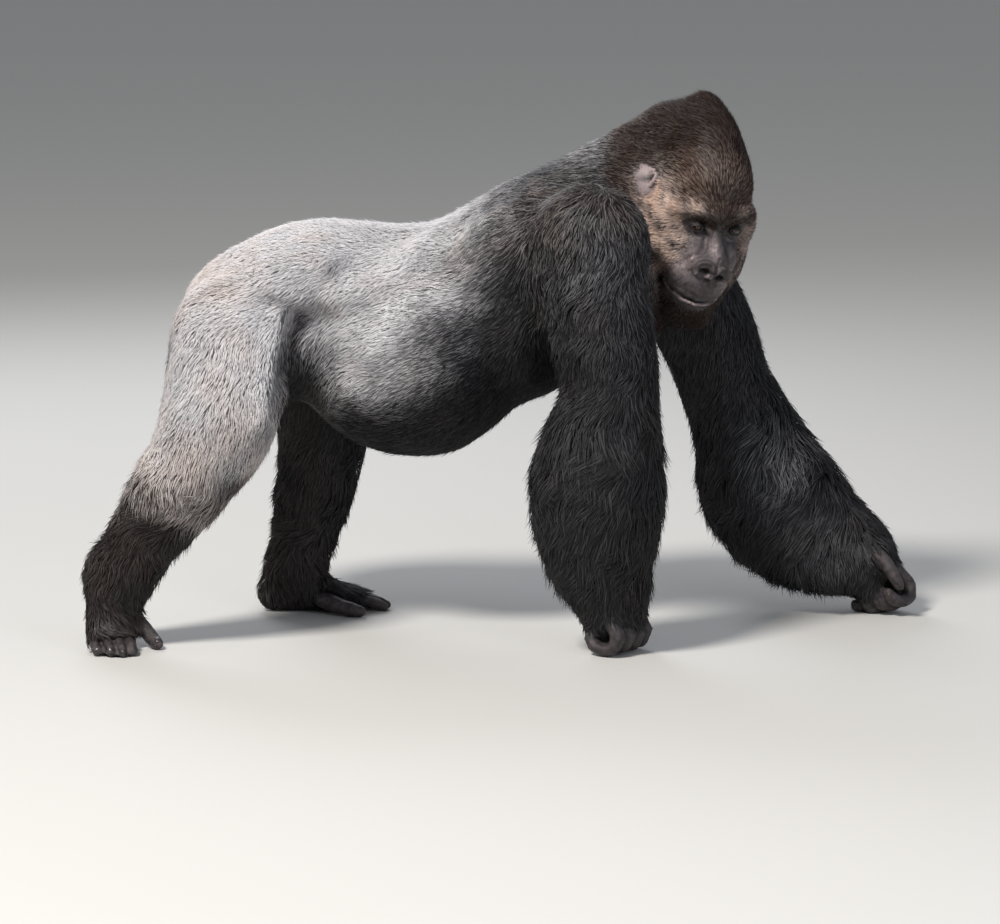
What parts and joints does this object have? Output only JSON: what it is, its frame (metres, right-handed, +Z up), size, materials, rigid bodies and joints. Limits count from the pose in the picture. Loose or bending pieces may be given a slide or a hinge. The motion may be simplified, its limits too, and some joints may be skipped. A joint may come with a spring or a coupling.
{
  "type": "male western lowland gorilla, silverback",
  "caption": "Silverback gorilla on all fours, leaning on the knuckles of one hand, the other hand reaching forward in a fist, head turned to the side and lowered.",
  "frame": {"origin": "on the floor, under the middle of the body's length and width", "axes": "+X the way the animal walks, +Y to its left, +Z up"},
  "size_m": [1.7222, 0.7638, 1.1096],
  "materials": {
    "coat_black": "coarse black hair over grey-black skin, soft low sheen",
    "coat_silver": "short silver-grey hair of the saddle, hips and thighs, matt",
    "coat_brown": "short red-brown and black hair of the crest and cheeks, matt",
    "bare_skin": "bare grey-black wrinkled skin of face, ears, hands and feet, low sheen",
    "eye": "wet red-brown eye"
  },
  "bodies": {
    "root": {"belly": "coat_silver", "big_toe_left": "bare_skin", "big_toe_right": "bare_skin", "chest": "coat_black", "ear_left": "bare_skin", "ear_right": "bare_skin", "eye_left": "eye", "eye_right": "eye", "foot_left": "coat_black", "foot_right": "coat_black", "forearm_left": "coat_black", "forearm_right": "coat_black", "fourth_toe_left": "bare_skin", "fourth_toe_right": "bare_skin", "hand_left": "coat_black", "hand_right": "coat_black", "head": "coat_brown", "index_finger_left": "bare_skin", "index_finger_right": "bare_skin", "jaw": "coat_brown", "little_finger_left": "bare_skin", "little_finger_right": "bare_skin", "little_toe_left": "bare_skin", "little_toe_right": "bare_skin", "middle_finger_left": "bare_skin", "middle_finger_right": "bare_skin", "middle_toe_left": "bare_skin", "middle_toe_right": "bare_skin", "neck": "coat_black", "pelvis": "coat_silver", "ring_finger_left": "bare_skin", "ring_finger_right": "bare_skin", "second_toe_left": "bare_skin", "second_toe_right": "bare_skin", "shin_left": "coat_black", "shin_right": "coat_black", "thigh_left": "coat_silver", "thigh_right": "coat_silver", "thumb_left": "bare_skin", "thumb_right": "bare_skin", "upper_arm_left": "coat_black", "upper_arm_right": "coat_black"}
  },
  "joints": []
}
